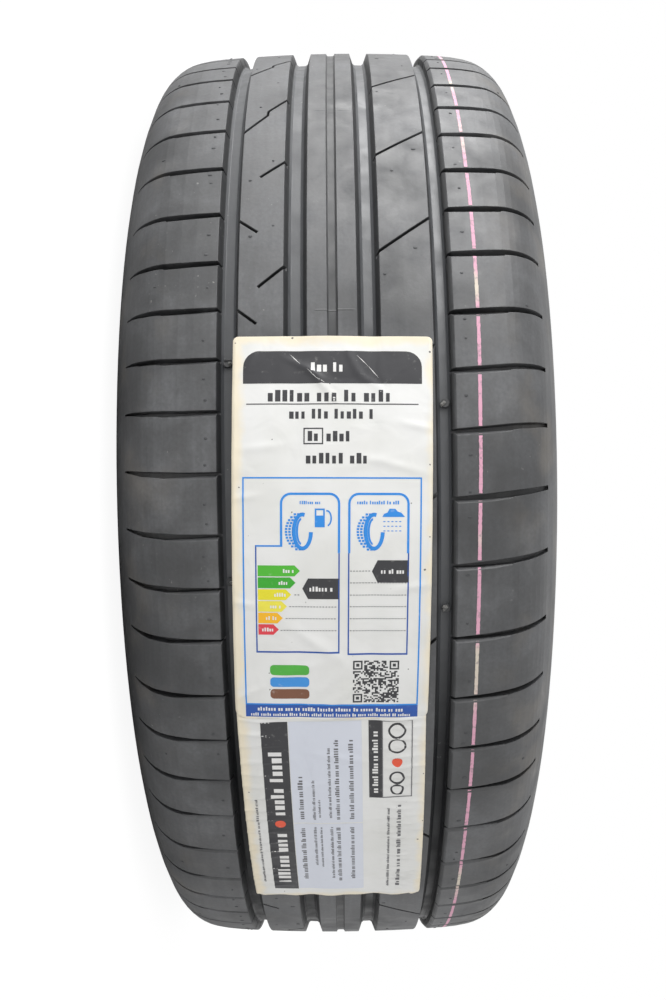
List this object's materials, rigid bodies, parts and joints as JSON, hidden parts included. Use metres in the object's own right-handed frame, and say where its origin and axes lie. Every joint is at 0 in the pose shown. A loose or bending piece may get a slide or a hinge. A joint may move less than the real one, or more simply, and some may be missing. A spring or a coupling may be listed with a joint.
{
  "type": "car tyre",
  "caption": "Wide radial car tyre with grooved and slotted tread, paper stickers and a painted line, lying on its sidewall.",
  "frame": {"origin": "centre of the tyre, on the axle and in the middle plane of the tread", "axes": "+Z along the axle; the tyre lies on its sidewall, with its stickers on the -Y side"},
  "size_m": [0.73, 0.7306, 0.272],
  "materials": {
    "tyre": "matte",
    "paper": "matte",
    "dark_ink": "matte",
    "blue_ink": "matte",
    "scale_ink": "matte",
    "silver_ink": "satin",
    "line_paint": "matte"
  },
  "bodies": {
    "root": {"tyre": "tyre", "upper_sticker": "paper", "lower_sticker": "paper", "dark_print": "dark_ink", "blue_print": "blue_ink", "scale_print": "scale_ink", "silver_print": "silver_ink", "marking_line": "line_paint"}
  },
  "joints": []
}
